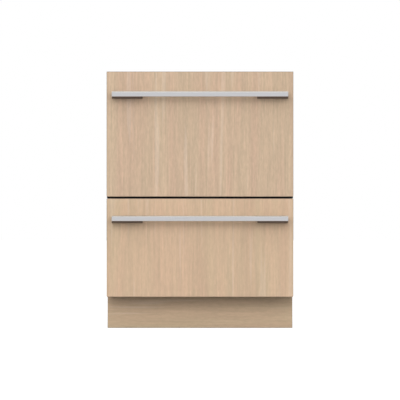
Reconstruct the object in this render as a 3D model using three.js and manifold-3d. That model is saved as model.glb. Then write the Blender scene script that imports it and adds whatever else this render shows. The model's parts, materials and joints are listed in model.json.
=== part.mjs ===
// Panel-ready double drawer dishwasher: a steel chassis on levelling feet that holds two tubs on
// telescopic runners, each behind a wooden front with a bar handle, over a recessed plinth.
// Millimetres. +Z is up and the fronts face -Y. The origin is on the floor, under the centre of the whole.
import * as THREE from "three";
import { mergeVertices } from "three/addons/utils/BufferGeometryUtils.js";
import Module from "manifold-3d";

// ---- Driving dimensions ----

// Gap left between two pieces that rest on each other, and between pieces that slide past each other.
const seat = 0.3;
const slip = 0.5;

// Wooden fronts and plinth.
const frontWidth = 596;
const plinthHeight = 101;
const lowerFrontHeight = 314;
const frontGap = 6;
const upperFrontHeight = 399;
const panelThickness = 19;
const panelArris = 0.8;
const plinthInset = 1.75;
const plinthRecess = 60;
const plinthThickness = 16;
const plinthFloorGap = 1;

// Bar handles.
const handleInset = 17;
const handleProjection = 38;
const barHeight = 17;
const barDepth = 10;
const barTopChamfer = 3;
const barArris = 1;
const bracketWidth = 98;
const bracketDrop = 6;
const bracketTopSetback = 4;
const bracketNoseRise = 1;
const bracketFootDepth = 14;
const upperHandleDrop = 72;
const lowerHandleDrop = 63.5;

// Steel chassis.
const chassisInset = 3;
const chassisDepth = 553;
const chassisTopDrop = 4;
const sheet = 1.5;
const panelFlange = 12;
const beadRise = 1.5;
const beadWidth = 22;
const beadMargin = 55;
const beadCorner = 10;
const topFlangeDrop = 15;
const trayRim = 9;
const railDepth = 36;
const railHeight = 6;
const railLidGap = 1.5;
const serviceHeight = 72;
const serviceRecess = 32;
const serviceWall = 3;
const inletRadius = 13.2;
const drainRadius = 10.5;
const glandRadius = 9;
const portWall = 2.5;
const portLength = 22;
const portSpacing = 70;
const portHeight = 34;

// Levelling feet.
const footRadius = 20;
const footPadHeight = 9;
const footPadEdge = 2;
const footNeck = 3;
const footStemRadius = 7;
const footNutRadius = 13;
const footNutHeight = 12;
const footNutGap = 2;
const footStemRise = 36;
const footSideInset = 46;
const footRearInset = 60;
const footPlinthGap = 18;

// Drawer fronts behind the wooden panels, with their buttons.
const carrierThickness = 28;
const carrierEdgeInset = 3;
const carrierSideInset = 0.5;
const carrierGap = 3;
const carrierCorner = 2;
const doorGap = 3;
const buttonWidth = 14;
const buttonDepth = 9;
const buttonHeight = 6;
const buttonCorner = 2;
const buttonArris = 0.4;
const buttonProud = 1;
const buttonTravel = 1.5;
const buttonSpacing = 26;
const buttonSideInset = 60;

// Telescopic runners.
const runnerWidth = 14;
const runnerHeight = 46;
const runnerSheet = 1.5;
const runnerLift = 45;
const runnerSetback = 6;
const runnerEndRoom = 8;

// Tubs.
const tubWall = 1.5;
const tubCorner = 34;
const tubRim = 6;
const tubRimHeight = 3;
const lowerTubLift = 49;
const lowerRimDrop = 10;
const upperTubLift = 64;
const upperRimDrop = 80;
const hoseRoom = 45;
const sumpRadius = 86;
const sumpDepth = 14;

// Lids and their seals.
const lidLift = 10;
const lidPlate = 3;
const lidRibHeight = 6;
const lidRibWidth = 4;
const lidRibMargin = 45;
const lidRibCount = 4;
const lidTabLength = 34;
const lidTabInset = 62;
const lidPinRadius = 2.5;
const lidPinSpare = 4;
const lidLugLength = 16;
const lidLugHeight = 5;
const lidLugReach = 9;
const sealWidth = 8;
const sealHeight = 5;

// Wash system: motor, filter plate and spray arm.
const motorHeight = 21;
const motorRadius = 72;
const pumpStartX = 43;
const pumpEndX = 122;
const pumpWidth = 48;
const pumpCorner = 14;
const pumpFloorInset = 3;
const pumpTopInset = 4;
const filterThickness = 3;
const filterDrop = 6;
const filterPostRadius = 11;
const filterPostHeight = 20;
const filterSkirtShare = 0.55;
const filterHoleRadius = 4;
const filterHoleShare = 0.76;
const filterHoleCount = 12;
const armSpan = 400;
const armWidth = 46;
const armTipWidth = 28;
const armThickness = 11;
const armArris = 1.5;
const hubRadius = 27;
const hubHeight = 17;
const hubSkirt = 3;
const nozzleRadius = 3;
const nozzleDepth = 2;
const nozzleShares = [-0.86, -0.6, -0.36, 0.3, 0.54, 0.8];

// Baskets with their tines and cup racks.
const wire = 3.2;
const rimWire = 5;
const meshThickness = 1;
const basketLift = 48;
const basketTopDrop = 20;
const basketSideGap = 9;
const basketBackGap = 10;
const basketFrontGap = 24;
const midWireShare = 0.5;
const wireInset = 40;
const wireCounts = { across: 5, along: 4 };
const wireCrossing = 0.4;
const restPadSize = 18;
const restPadInset = 6;
const tineRadius = 1.5;
const tineHeight = 82;
const tineSpacing = 46;
const tineEndRoom = 44;
const tineRowOverhang = 10;
const foldTineX = -82;
const fixedTineX = 22;
const rodRadius = 2.2;
const rodLift = 9;
const rodClearance = 0.3;
const clipLength = 8;
const clipWidth = 11;
const clipOverRod = 4;
const rackReach = 108;
const rackThickness = 3;
const rackLift = 88;
const rackEndRoom = 52;
const rackBarWidth = 6;
const rackBarCount = 6;
const rackLip = 8;

// Detergent dispensers.
const dispenserWidth = 150;
const dispenserHeight = 72;
const dispenserDepth = 15;
const dispenserDrop = 26;
const dispenserX = -70;
const dispenserCorner = 6;
const cupWidth = 56;
const cupHeight = 44;
const cupDepth = 11;
const cupCorner = 5;
const cupSideInset = 7;
const coverMargin = 4;
const coverCorner = 4;
const coverThickness = 2.4;
const coverGripRise = 2;
const coverGripWidth = 6;
const coverGripInset = 5;
const coverGripEndInset = 8;

// ---- Sizes that follow from the driving dimensions ----

const chassisWidth = frontWidth - 2 * chassisInset;
const depth = handleProjection + panelThickness + seat + chassisDepth;
const lowerFrontBottom = plinthHeight;
const upperFrontBottom = lowerFrontBottom + lowerFrontHeight + frontGap;
const chassisTop = upperFrontBottom + upperFrontHeight - chassisTopDrop;
const chassisBottom = plinthHeight;

const barFrontY = -depth / 2;
const panelFrontY = barFrontY + handleProjection;
const carrierFrontY = panelFrontY + panelThickness + seat;
const tubFrontY = carrierFrontY + carrierThickness + seat;
const mouthY = carrierFrontY + carrierThickness + doorGap;
const rearY = depth / 2;
const rearPlateY = rearY - beadRise - sheet;
const sideBackY = rearPlateY - seat;

const innerFaceX = chassisWidth / 2 - sheet;
const runnerOuterX = innerFaceX - seat;
const tubHalf = runnerOuterX - runnerWidth - seat;
const tubDepth = rearY - hoseRoom - tubFrontY;
const rimHalf = tubHalf + tubRim;
const rimBack = tubDepth + tubRim;

const lowerTubBase = lowerFrontBottom + lowerTubLift;
const lowerTubHeight = lowerFrontHeight - lowerTubLift - lowerRimDrop;
const upperTubBase = upperFrontBottom + upperTubLift;
const upperTubHeight = upperFrontHeight - upperTubLift - upperRimDrop;

// Heights above a tub's rim, with the lid raised.
const sealBottom = seat + lidLift;
const lidBottom = sealBottom + sealHeight + seat;
const lidTop = lidBottom + lidPlate + lidRibHeight;

// The upper carrier's lower edge hides the gap between the panels, and clears the lower drawer's buttons.
const lowerCarrierTop = lowerFrontBottom + lowerFrontHeight - carrierEdgeInset;

const drawers = [
  {
    name: "upper",
    frontBottom: upperFrontBottom,
    frontHeight: upperFrontHeight,
    carrierBottom: lowerCarrierTop + buttonProud + carrierGap,
    handleDrop: upperHandleDrop,
    tubBase: upperTubBase,
    tubHeight: upperTubHeight,
  },
  {
    name: "lower",
    frontBottom: lowerFrontBottom,
    frontHeight: lowerFrontHeight,
    carrierBottom: lowerFrontBottom + carrierEdgeInset,
    handleDrop: lowerHandleDrop,
    tubBase: lowerTubBase,
    tubHeight: lowerTubHeight,
  },
];
const sides = [
  { name: "left", sign: -1 },
  { name: "right", sign: 1 },
];

// ---- Materials ----

const finishes = {
  oak: { color: "#cdb39a", roughness: 0.62, metalness: 0 },
  plinthOak: { color: "#b89f85", roughness: 0.66, metalness: 0 },
  brushedSteel: { color: "#c3c2bf", roughness: 0.32, metalness: 1 },
  darkBracket: { color: "#4a413b", roughness: 0.5, metalness: 0.6 },
  zincSheet: { color: "#a9adb0", roughness: 0.45, metalness: 0.9 },
  stainless: { color: "#b8bbbd", roughness: 0.28, metalness: 1 },
  frontPlastic: { color: "#2b2c2e", roughness: 0.55, metalness: 0 },
  lidPlastic: { color: "#a6a9ab", roughness: 0.5, metalness: 0 },
  rubber: { color: "#3a3b3c", roughness: 0.8, metalness: 0 },
  coatedWire: { color: "#8b8f93", roughness: 0.4, metalness: 0 },
  greyPlastic: { color: "#6f7478", roughness: 0.5, metalness: 0 },
  paleGreyPlastic: { color: "#b4b8bb", roughness: 0.45, metalness: 0 },
  blackPlastic: { color: "#1d1e20", roughness: 0.5, metalness: 0 },
  runnerZinc: { color: "#b2b5b6", roughness: 0.35, metalness: 1 },
  buttonPlastic: { color: "#c9cbcc", roughness: 0.4, metalness: 0 },
};

// ---- Shape helpers ----

const wasm = await Module();
wasm.setup();

// A closed three.js geometry as a solid that can be joined and cut.
function toSolid(geometry) {
  geometry.deleteAttribute("normal");
  geometry.deleteAttribute("uv");
  const merged = mergeVertices(geometry, 1e-4);
  return new wasm.Manifold(
    new wasm.Mesh({
      numProp: 3,
      vertProperties: merged.attributes.position.array,
      triVerts: new Uint32Array(merged.index.array),
    }),
  );
}

function toGeometry(solid) {
  const mesh = solid.getMesh();
  const geometry = new THREE.BufferGeometry();
  geometry.setAttribute("position", new THREE.BufferAttribute(new Float32Array(mesh.vertProperties), 3));
  geometry.setIndex(new THREE.BufferAttribute(new Uint32Array(mesh.triVerts), 1));
  geometry.computeVertexNormals();
  return geometry;
}

function joined(solids) {
  return solids.reduce((sum, next) => sum.add(next));
}

function piece(name, solid, finish) {
  const mesh = new THREE.Mesh(toGeometry(solid), new THREE.MeshStandardMaterial(finishes[finish]));
  mesh.name = name;
  return mesh;
}

// A block between two X, two Y and two Z values, in either order.
function block(x0, x1, y0, y1, z0, z1) {
  const box = new THREE.BoxGeometry(Math.abs(x1 - x0), Math.abs(y1 - y0), Math.abs(z1 - z0));
  return toSolid(box.translate((x0 + x1) / 2, (y0 + y1) / 2, (z0 + z1) / 2));
}

function outline(points) {
  return new THREE.Shape(points.map(([u, v]) => new THREE.Vector2(u, v)));
}

// A rectangle with round corners, drawn on the two axes that it is extruded across.
function roundedOutline(u0, u1, v0, v1, radius) {
  const shape = new THREE.Shape();
  shape.absarc(u1 - radius, v0 + radius, radius, -Math.PI / 2, 0);
  shape.absarc(u1 - radius, v1 - radius, radius, 0, Math.PI / 2);
  shape.absarc(u0 + radius, v1 - radius, radius, Math.PI / 2, Math.PI);
  shape.absarc(u0 + radius, v0 + radius, radius, Math.PI, 1.5 * Math.PI);
  return shape;
}

const axisFrames = {
  x: [new THREE.Vector3(0, 1, 0), new THREE.Vector3(0, 0, 1), new THREE.Vector3(1, 0, 0)],
  y: [new THREE.Vector3(1, 0, 0), new THREE.Vector3(0, 0, 1), new THREE.Vector3(0, -1, 0)],
  z: [new THREE.Vector3(1, 0, 0), new THREE.Vector3(0, 1, 0), new THREE.Vector3(0, 0, 1)],
};

// Extrudes an outline from one value to a larger one along X (outline in Y, Z), Y (X, Z) or Z (X, Y).
function prism(axis, shape, from, to, options = {}) {
  const bevel = options.arris ?? 0;
  const geometry = new THREE.ExtrudeGeometry(shape, {
    depth: to - from - 2 * bevel,
    curveSegments: options.curveSegments ?? 3,
    bevelEnabled: bevel > 0,
    bevelThickness: bevel,
    bevelSize: bevel,
    bevelOffset: -bevel,
    bevelSegments: 1,
  });
  geometry.translate(0, 0, bevel);
  geometry.applyMatrix4(new THREE.Matrix4().makeBasis(...axisFrames[axis]));
  const start = axis === "y" ? to : from;
  const shift = axisFrames[axis][2].clone().multiplyScalar(axis === "y" ? -start : start);
  return toSolid(geometry.translate(shift.x, shift.y, shift.z));
}

// An upright ring that follows a rounded rectangle, centred on X, between two heights.
function ring(half, front, back, corner, wall, bottom, top) {
  const outer = roundedOutline(-half, half, front, back, corner);
  const inner = roundedOutline(-half + wall, half - wall, front + wall, back - wall, corner - wall);
  return prism("z", outer, bottom, top).subtract(prism("z", inner, bottom - 1, top + 1));
}

// A round bar between two values along an axis, through the point (u, v) of the other two axes.
function rod(axis, u, v, radius, from, to, sides = 12) {
  const corners = Array.from({ length: sides }, (_, i) => (2 * Math.PI * (i + 0.5)) / sides);
  const shape = outline(corners.map((angle) => [u + radius * Math.cos(angle), v + radius * Math.sin(angle)]));
  return prism(axis, shape, from, to);
}

// A number of evenly spaced values from first to last.
function spread(first, last, count) {
  return Array.from({ length: count }, (_, i) => first + ((last - first) * i) / (count - 1));
}

// ---- Chassis ----

// The two heights at which the raised lids' tabs meet the lugs of the side panels, and the places along Y.
const lugBottoms = drawers.map((d) => d.tubBase + d.tubHeight + lidBottom + lidPlate + seat);
const lugPlaces = [tubFrontY + lidTabInset, tubFrontY + tubDepth - lidTabInset];
const pinX = innerFaceX - lidLugReach / 2;

// An upright stiffening bead, centred on a value of the level axis that it is drawn on.
function bead(axis, centre, bottom, top, from, to) {
  const ends = [centre - beadWidth / 2, centre + beadWidth / 2];
  const shape = roundedOutline(...ends, bottom + beadMargin, top - beadMargin, beadCorner);
  return prism(axis, shape, Math.min(from, to), Math.max(from, to), { curveSegments: 2 });
}

// The sheets' own top, under the top cover.
const wallTop = chassisTop - sheet - seat;

// A channel of sheet steel, open to the inside, with the lugs and pins that guide the two lids.
function sidePanel(side) {
  const s = side.sign;
  const outer = (s * chassisWidth) / 2;
  const inner = s * innerFaceX;
  const flangeEnd = s * (innerFaceX - panelFlange);
  const solids = [
    block(outer, inner, mouthY, sideBackY, chassisBottom, wallTop),
    block(outer, flangeEnd, sideBackY - sheet, sideBackY, chassisBottom, wallTop),
    block(outer, flangeEnd, mouthY, sideBackY, chassisBottom, chassisBottom + sheet),
    block(outer, flangeEnd, mouthY, sideBackY, wallTop - sheet, wallTop),
  ];
  for (const y of [mouthY + beadMargin, (mouthY + sideBackY) / 2, sideBackY - beadMargin]) {
    solids.push(bead("x", y, chassisBottom, wallTop, outer - (s * sheet) / 2, outer + s * beadRise));
  }
  for (const z of lugBottoms) {
    for (const y of lugPlaces) {
      const lugEnds = [y - lidLugLength / 2, y + lidLugLength / 2];
      const pinBottom = z - lidPlate - lidLift - lidPinSpare;
      solids.push(
        block(outer, inner - s * lidLugReach, ...lugEnds, z, z + lidLugHeight),
        rod("z", s * pinX, y, lidPinRadius, pinBottom, z + lidLugHeight / 2, 8),
      );
    }
  }
  return piece(`side_panel_${side.name}`, joined(solids), "zincSheet");
}

function rearPanel() {
  const bottom = chassisBottom + serviceHeight;
  const half = chassisWidth / 2;
  const flangeHalf = innerFaceX - panelFlange - seat;
  const solids = [
    block(-half, half, rearPlateY, rearPlateY + sheet, bottom, wallTop),
    block(-flangeHalf, flangeHalf, rearPlateY - panelFlange, rearPlateY + sheet, bottom, bottom + sheet),
  ];
  for (const x of [-half + 2 * beadMargin, 0, half - 2 * beadMargin]) {
    solids.push(bead("y", x, bottom, wallTop, rearPlateY + sheet / 2, rearY));
  }
  return piece("rear_panel", joined(solids), "zincSheet");
}

// Lies on the side and rear panels, with a stiffening flange down at the mouth and at the back.
function topCover() {
  const half = chassisWidth / 2;
  const flangeHalf = innerFaceX - panelFlange - seat;
  const bottom = chassisTop - topFlangeDrop;
  const back = sideBackY - sheet - seat;
  return piece(
    "top_cover",
    joined([
      block(-half, half, mouthY, rearPlateY + sheet, chassisTop - sheet, chassisTop),
      block(-flangeHalf, flangeHalf, mouthY, mouthY + sheet, bottom, chassisTop),
      block(-flangeHalf, flangeHalf, back - sheet, back, bottom, chassisTop),
    ]),
    "zincSheet",
  );
}

const footPlaces = [
  { name: "front", y: panelFrontY + plinthRecess + plinthThickness + footPlinthGap + footRadius },
  { name: "rear", y: rearY - footRearInset },
];
const footX = chassisWidth / 2 - footSideInset;
const trayBottom = chassisBottom + sheet + seat;

function baseTray() {
  const half = innerFaceX - seat;
  const back = sideBackY - sheet - seat;
  const floor = trayBottom + sheet;
  const inner = half - sheet;
  let solid = block(-half, half, mouthY, back, trayBottom, trayBottom + trayRim);
  solid = solid.subtract(block(-inner, inner, mouthY + sheet, back - sheet, floor, floor + trayRim));
  for (const side of sides) {
    for (const place of footPlaces) {
      const hole = footStemRadius + slip;
      solid = solid.subtract(rod("z", side.sign * footX, place.y, hole, trayBottom - 1, floor + 1, 16));
    }
  }
  return piece("base_tray", solid, "zincSheet");
}

// Cross-member between the two drawers, an open channel behind the mouth.
function middleRail() {
  const half = innerFaceX - seat;
  const bottom = lowerTubBase + lowerTubHeight + lidTop + railLidGap;
  const channel = outline([
    [mouthY, bottom],
    [mouthY + railDepth, bottom],
    [mouthY + railDepth, bottom + railHeight],
    [mouthY + railDepth - sheet, bottom + railHeight],
    [mouthY + railDepth - sheet, bottom + sheet],
    [mouthY + sheet, bottom + sheet],
    [mouthY + sheet, bottom + railHeight],
    [mouthY, bottom + railHeight],
  ]);
  return piece("middle_rail", prism("x", channel, -half, half), "zincSheet");
}

function plinthPanel() {
  const half = frontWidth / 2 - plinthInset;
  const front = panelFrontY + plinthRecess;
  const board = outline([
    [-half, plinthFloorGap],
    [half, plinthFloorGap],
    [half, chassisBottom - seat],
    [-half, chassisBottom - seat],
  ]);
  const solid = prism("y", board, front, front + plinthThickness, { arris: panelArris });
  return piece("plinth_panel", solid, "plinthOak");
}

// Moulded rear plate in the plumbing recess, with the water inlet, drain spigot and mains gland.
function servicePlate() {
  const half = innerFaceX - seat;
  const floor = trayBottom + trayRim + seat;
  const top = chassisBottom + serviceHeight - seat;
  const face = rearY - serviceRecess;
  const profile = outline([
    [face - serviceWall, floor],
    [face, floor],
    [face, top - serviceWall],
    [rearPlateY - panelFlange - seat, top - serviceWall],
    [rearPlateY - panelFlange - seat, top],
    [face - serviceWall, top],
  ]);
  let solid = prism("x", profile, -half, half);
  [inletRadius, drainRadius, glandRadius].forEach((radius, i) => {
    const x = half - portSpacing * (i + 1);
    const z = chassisBottom + portHeight;
    solid = solid.add(rod("y", x, z, radius, face - serviceWall / 2, face + portLength, 16));
    solid = solid.subtract(rod("y", x, z, radius - portWall, face, face + portLength + 1, 16));
  });
  return piece("service_plate", solid, "greyPlastic");
}

// A pad, a square-shouldered nut section and a threaded stem that passes up through the base tray.
function foot(place, side) {
  const nutTop = chassisBottom - footNutGap;
  const profile = [
    [0, 0],
    [footRadius - footPadEdge, 0],
    [footRadius, footPadEdge],
    [footRadius, footPadHeight - footNeck],
    [footStemRadius + footNeck, footPadHeight],
    [footStemRadius, footPadHeight],
    [footStemRadius, nutTop - footNutHeight],
    [footNutRadius, nutTop - footNutHeight],
    [footNutRadius, nutTop],
    [footStemRadius, nutTop],
    [footStemRadius, chassisBottom + footStemRise],
    [0, chassisBottom + footStemRise],
  ].map(([r, z]) => new THREE.Vector2(r, z));
  const turned = new THREE.LatheGeometry(profile, 12).rotateX(Math.PI / 2);
  const mesh = piece(`foot_${place.name}_${side.name}`, toSolid(turned), "blackPlastic");
  mesh.position.set(side.sign * footX, place.y, 0);
  return mesh;
}

// ---- Drawer fronts and handles, in a frame at the tub's front face and underside ----

function frontPanel(d) {
  const bottom = d.frontBottom - d.tubBase;
  const back = -seat - carrierThickness - seat;
  const board = outline([
    [-frontWidth / 2, bottom],
    [frontWidth / 2, bottom],
    [frontWidth / 2, bottom + d.frontHeight],
    [-frontWidth / 2, bottom + d.frontHeight],
  ]);
  const solid = prism("y", board, back - panelThickness, back, { arris: panelArris });
  return piece(`${d.name}_front_panel`, solid, "oak");
}

const buttons = [
  { name: "power_button", place: 0 },
  { name: "start_button", place: 1 },
];
const buttonX = (place) => frontWidth / 2 - buttonSideInset - place * buttonSpacing;

// The drawer's own front, which carries the wooden panel and holds the buttons in its top edge.
function frontCarrier(d) {
  const half = frontWidth / 2 - carrierSideInset;
  const bottom = d.carrierBottom - d.tubBase;
  const top = d.frontBottom + d.frontHeight - d.tubBase - carrierEdgeInset;
  const board = roundedOutline(-half, half, bottom, top, carrierCorner);
  let solid = prism("y", board, -seat - carrierThickness, -seat, { curveSegments: 2 });
  const floor = top + buttonProud - buttonHeight - buttonTravel - seat;
  const middle = -seat - carrierThickness / 2;
  for (const button of buttons) {
    const x = buttonX(button.place);
    const halfX = buttonWidth / 2 + seat;
    const halfY = buttonDepth / 2 + seat;
    solid = solid.subtract(block(x - halfX, x + halfX, middle - halfY, middle + halfY, floor, top + 1));
  }
  return piece(`${d.name}_front_carrier`, solid, "frontPlastic");
}

function button(d, spec) {
  const top = d.frontBottom + d.frontHeight - d.tubBase - carrierEdgeInset + buttonProud;
  const middle = -seat - carrierThickness / 2;
  const x = buttonX(spec.place);
  const cap = roundedOutline(
    x - buttonWidth / 2,
    x + buttonWidth / 2,
    middle - buttonDepth / 2,
    middle + buttonDepth / 2,
    buttonCorner,
  );
  const solid = prism("z", cap, top - buttonHeight, top, { curveSegments: 1, arris: buttonArris });
  return piece(`${d.name}_${spec.name}`, solid, "buttonPlastic");
}

const barBackY = -seat - carrierThickness - seat - panelThickness - (handleProjection - barDepth);
const barHalf = frontWidth / 2 - handleInset;
const barMiddle = (d) => d.frontBottom + d.frontHeight - d.handleDrop - d.tubBase;

function handleBar(d) {
  const top = barMiddle(d) + barHeight / 2;
  const bottom = top - barHeight;
  const front = barBackY - barDepth;
  const profile = outline([
    [barBackY, bottom],
    [barBackY, top - barArris],
    [barBackY - barArris, top],
    [front + barTopChamfer, top],
    [front, top - barTopChamfer],
    [front, bottom + barArris],
    [front + barArris, bottom],
  ]);
  return piece(`${d.name}_handle_bar`, prism("x", profile, -barHalf, barHalf), "brushedSteel");
}

// Stands the bar off the panel. Its underside slopes back from the bar to the panel, and its foot shows as a
// dark edge under the bar.
function handleBracket(d, side) {
  const barTop = barMiddle(d) + barHeight / 2;
  const barBottom = barTop - barHeight;
  const bottom = barBottom - bracketDrop;
  const panelFace = -seat - carrierThickness - seat - panelThickness - seat;
  const profile = outline([
    [panelFace, bottom],
    [panelFace, barTop - bracketTopSetback],
    [barBackY + seat, barTop - bracketTopSetback],
    [barBackY + seat, barBottom + bracketNoseRise],
    [panelFace - bracketFootDepth, bottom],
  ]);
  const ends = [side.sign * barHalf, side.sign * (barHalf - bracketWidth)].sort((a, b) => a - b);
  const solid = prism("x", profile, ends[0], ends[1]);
  return piece(`${d.name}_handle_bracket_${side.name}`, solid, "darkBracket");
}

// ---- Tubs ----

const tubInner = tubHalf - tubWall;
const basketHalf = tubInner - basketSideGap;
const basketCorner = tubCorner - tubWall - basketSideGap;
const basketFront = tubWall + basketFrontGap;
const basketBack = tubDepth - tubWall - basketBackGap;

const sumpMiddleY = tubDepth / 2;

// An open box with round corners and a rim along the top of all but the front. A round sump hangs from its
// floor, and a pad stands under each corner of the basket.
function tub(d) {
  const top = d.tubHeight;
  const walls = prism("z", roundedOutline(-tubHalf, tubHalf, 0, tubDepth, tubCorner), 0, top);
  const rim = prism("z", roundedOutline(-rimHalf, rimHalf, 0, rimBack, tubCorner), top - tubRimHeight, top);
  const sump = rod("z", 0, sumpMiddleY, sumpRadius, -sumpDepth, tubWall, 32);
  const inside = roundedOutline(-tubInner, tubInner, tubWall, tubDepth - tubWall, tubCorner - tubWall);
  const sumpInside = rod("z", 0, sumpMiddleY, sumpRadius - tubWall, -sumpDepth + tubWall, 2 * tubWall, 32);
  let solid = joined([walls, rim, sump]).subtract(prism("z", inside, tubWall, top + 1)).subtract(sumpInside);
  for (const side of sides) {
    for (const y of [basketFront + restPadInset, basketBack - restPadInset - restPadSize]) {
      const x = side.sign * (basketHalf - restPadInset);
      const pad = block(x, x - side.sign * restPadSize, y, y + restPadSize, tubWall / 2, borderBottom - seat);
      solid = solid.add(pad);
    }
  }
  return piece(`${d.name}_tub`, solid, "stainless");
}

// ---- Lids, which press down on the tubs to wash ----

function lid(d) {
  const bottom = d.tubHeight + lidBottom;
  const top = bottom + lidPlate;
  const plate = prism("z", roundedOutline(-rimHalf, rimHalf, 0, rimBack, tubCorner), bottom, top);
  const solids = [plate];
  const reach = rimHalf - lidRibMargin;
  for (const y of spread(lidRibMargin, rimBack - lidRibMargin, lidRibCount)) {
    solids.push(block(-reach, reach, y - lidRibWidth / 2, y + lidRibWidth / 2, top - 1, top + lidRibHeight));
  }
  let solid = joined(solids);
  for (const side of sides) {
    for (const y of [lidTabInset, tubDepth - lidTabInset]) {
      const tabEnd = side.sign * (innerFaceX - slip);
      const tabStart = side.sign * (rimHalf - lidLugReach);
      solid = solid.add(block(tabStart, tabEnd, y - lidTabLength / 2, y + lidTabLength / 2, bottom, top));
      solid = solid.subtract(rod("z", side.sign * pinX, y, lidPinRadius + slip, bottom - 1, top + 1, 8));
    }
  }
  return piece(`${d.name}_lid`, solid, "lidPlastic");
}

function lidSeal(d) {
  const bottom = d.tubHeight + sealBottom;
  const solid = ring(rimHalf, 0, rimBack, tubCorner, sealWidth, bottom, bottom + sealHeight);
  return piece(`${d.name}_lid_seal`, solid, "rubber");
}

// ---- Wash system ----

const filterTop = -filterDrop;

function washMotor(d) {
  const top = -sumpDepth - seat;
  const body = rod("z", 0, sumpMiddleY, motorRadius, top - motorHeight, top, 28);
  const ends = [sumpMiddleY - pumpWidth / 2, sumpMiddleY + pumpWidth / 2];
  const pump = roundedOutline(pumpStartX, pumpEndX, ...ends, pumpCorner);
  const solid = body.add(prism("z", pump, top - motorHeight + pumpFloorInset, top - pumpTopInset));
  return piece(`${d.name}_wash_motor`, solid, "blackPlastic");
}

function filterPlate(d) {
  const radius = sumpRadius - tubWall - slip;
  const bottom = -sumpDepth + tubWall + seat;
  const plate = rod("z", 0, sumpMiddleY, radius, filterTop - filterThickness, filterTop, 32);
  const skirt = rod("z", 0, sumpMiddleY, radius * filterSkirtShare, bottom, filterTop, 20);
  const post = rod("z", 0, sumpMiddleY, filterPostRadius, bottom, filterPostHeight, 16);
  let solid = joined([plate, skirt, post]);
  for (let i = 0; i < filterHoleCount; i += 1) {
    const angle = (2 * Math.PI * i) / filterHoleCount;
    const x = radius * filterHoleShare * Math.cos(angle);
    const y = sumpMiddleY + radius * filterHoleShare * Math.sin(angle);
    const ends = [filterTop - filterThickness - 1, filterTop + 1];
    solid = solid.subtract(rod("z", x, y, filterHoleRadius, ...ends, 6));
  }
  return piece(`${d.name}_filter_plate`, solid, "greyPlastic");
}

// Two arms that swell to a hub, with shallow nozzles on top; the hub's socket turns on the filter's post.
function sprayArm(d) {
  const half = armSpan / 2;
  const shape = new THREE.Shape();
  const tip = armTipWidth / 2;
  const waist = armWidth / 2;
  shape.moveTo(-half + tip, -tip);
  shape.quadraticCurveTo(-half / 2, -waist, 0, -waist);
  shape.quadraticCurveTo(half / 2, -waist, half - tip, -tip);
  shape.absarc(half - tip, 0, tip, -Math.PI / 2, Math.PI / 2);
  shape.quadraticCurveTo(half / 2, waist, 0, waist);
  shape.quadraticCurveTo(-half / 2, waist, -half + tip, tip);
  shape.absarc(-half + tip, 0, tip, Math.PI / 2, 1.5 * Math.PI);
  const bottom = filterPostHeight - hubHeight / 2;
  const top = bottom + armThickness;
  const socketEnds = [bottom - hubSkirt - 1, filterPostHeight + seat];
  let solid = prism("z", shape, bottom, top, { arris: armArris });
  solid = solid.add(rod("z", 0, 0, hubRadius, bottom - hubSkirt, bottom + hubHeight, 20));
  solid = solid.subtract(rod("z", 0, 0, filterPostRadius + slip, ...socketEnds, 16));
  for (const share of nozzleShares) {
    solid = solid.subtract(rod("z", share * half, 0, nozzleRadius, top - nozzleDepth, top + 1, 6));
  }
  const mesh = piece(`${d.name}_spray_arm`, solid, "greyPlastic");
  mesh.position.set(0, sumpMiddleY, 0);
  return mesh;
}

// ---- Baskets ----

// Heights of the floor's wires, which cross without their faces meeting.
const floorTop = basketLift + 1.6 * wire;
const borderBottom = floorTop - 1.2 * wire;
const hingeWireTop = basketLift + 2 * wire;
const crossing = wireCrossing * wire;

const rodZ = hingeWireTop + rodLift;
const tineEnds = [basketFront + tineEndRoom, basketBack - tineEndRoom];
const tineCount = Math.floor((tineEnds[1] - tineEnds[0]) / tineSpacing) + 1;
const tineFirst = (tineEnds[0] + tineEnds[1] - (tineCount - 1) * tineSpacing) / 2;
const tinePlaces = Array.from({ length: tineCount }, (_, i) => tineFirst + i * tineSpacing);
const rowEnds = [tinePlaces[0] - tineRowOverhang, tinePlaces[tineCount - 1] + tineRowOverhang];
const rackHingeX = basketHalf - rimWire - clipWidth / 2;
const rackZ = basketLift + rackLift;
const rackEnds = [basketFront + rackEndRoom, basketBack - rackEndRoom];
const acrossPlaces = spread(-basketHalf + wireInset, basketHalf - wireInset, wireCounts.across);
const alongPlaces = spread(basketFront + wireInset, basketBack - wireInset, wireCounts.along);

// A grid of wires inside a border wire, with two taller wires, one for each row of tines.
function floorWires() {
  const half = basketHalf - crossing;
  const lengthwise = [basketFront + crossing, basketBack - crossing];
  const heights = [borderBottom, borderBottom + wire];
  const wires = [ring(basketHalf, basketFront, basketBack, basketCorner, wire, ...heights)];
  for (const x of acrossPlaces) {
    wires.push(block(x - wire / 2, x + wire / 2, ...lengthwise, basketLift, basketLift + wire));
  }
  for (const y of alongPlaces) {
    wires.push(block(-half, half, y - wire / 2, y + wire / 2, floorTop - wire, floorTop));
  }
  for (const x of [foldTineX, fixedTineX]) {
    wires.push(block(x - wire / 2, x + wire / 2, ...rowEnds, hingeWireTop - 1.8 * wire, hingeWireTop));
  }
  return wires;
}

const rightPlaces = [...alongPlaces, rackEnds[0] + clipLength / 2, rackEnds[1] - clipLength / 2];
const basketWalls = [
  { axis: "x", face: basketFront, inward: 1, places: acrossPlaces },
  { axis: "x", face: basketBack, inward: -1, places: acrossPlaces },
  { axis: "y", face: -basketHalf, inward: 1, places: alongPlaces },
  { axis: "y", face: basketHalf, inward: -1, places: rightPlaces },
];

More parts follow.
